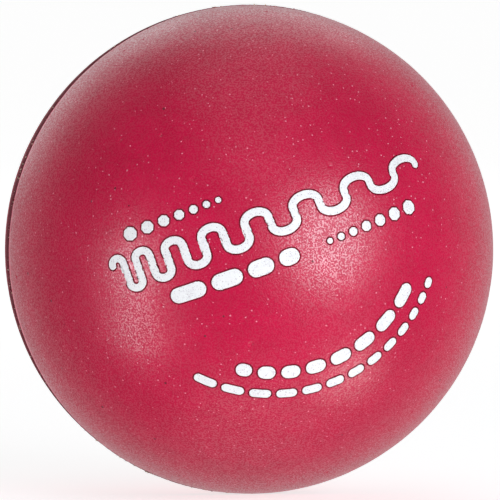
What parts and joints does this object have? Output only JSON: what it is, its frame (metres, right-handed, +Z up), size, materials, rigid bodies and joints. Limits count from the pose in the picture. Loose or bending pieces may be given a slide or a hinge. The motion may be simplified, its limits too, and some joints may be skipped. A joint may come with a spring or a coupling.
{
  "type": "stress ball",
  "caption": "Round moulded foam stress ball with a coloured skin, a trimmed parting line and a white print, squeezed in the hand.",
  "frame": {"origin": "where the lowest point of the parting web's crest touches the surface that the ball stands on, straight under the ball's centre", "axes": "+Z up in the parting plane, +Y along the mould's axis from the printed pole to the rear pole, +X to the right of someone who faces the print"},
  "size_m": [0.0654, 0.0655, 0.0654],
  "materials": {
    "raw_foam": "open-cell polyurethane foam, pale cream",
    "coloured_skin": "satin coloured coat on an integral foam skin, very fine orange peel",
    "stained_foam": "trimmed edge of foam stained by the coloured coat, matte",
    "white_ink": "thin white pad-printed ink, satin"
  },
  "bodies": {
    "rear_half": {"foam_core": "raw_foam", "skin_rear": "coloured_skin", "parting_web": "stained_foam", "vent_stub": "raw_foam"},
    "front_half": {"skin_front": "coloured_skin", "print_wave": "white_ink", "print_upper_dot_1": "white_ink", "print_upper_dot_2": "white_ink", "print_upper_dot_3": "white_ink", "print_upper_dot_4": "white_ink", "print_upper_dot_5": "white_ink", "print_upper_dot_6": "white_ink", "print_upper_dot_7": "white_ink", "print_lower_dot_1": "white_ink", "print_lower_dot_2": "white_ink", "print_lower_dot_3": "white_ink", "print_lower_dot_4": "white_ink", "print_lower_dot_5": "white_ink", "print_lower_dot_6": "white_ink", "print_lower_dot_7": "white_ink", "print_tag_1": "white_ink", "print_tag_2": "white_ink", "print_tag_3": "white_ink", "print_tag_4": "white_ink", "print_inner_dash_1": "white_ink", "print_inner_dash_2": "white_ink", "print_inner_dash_3": "white_ink", "print_inner_dash_4": "white_ink", "print_inner_dash_5": "white_ink", "print_inner_dash_6": "white_ink", "print_inner_dash_7": "white_ink", "print_inner_dash_8": "white_ink", "print_outer_dash_1": "white_ink", "print_outer_dash_2": "white_ink", "print_outer_dash_3": "white_ink", "print_outer_dash_4": "white_ink", "print_outer_dash_5": "white_ink", "print_outer_dash_6": "white_ink", "print_outer_dash_7": "white_ink", "print_outer_dash_8": "white_ink", "print_outer_dash_9": "white_ink", "print_outer_dash_10": "white_ink", "print_outer_dash_11": "white_ink", "print_outer_dash_12": "white_ink", "print_outer_dash_13": "white_ink"}
  },
  "joints": [
    {"name": "squeeze", "type": "slide", "parent": "rear_half", "child": "front_half", "axis": [0, 1, 0], "range_m": [0, 0.026], "stiffness_N_per_m": 1500, "deforming": ["foam_core", "skin_front", "skin_rear", "parting_web"]}
  ]
}
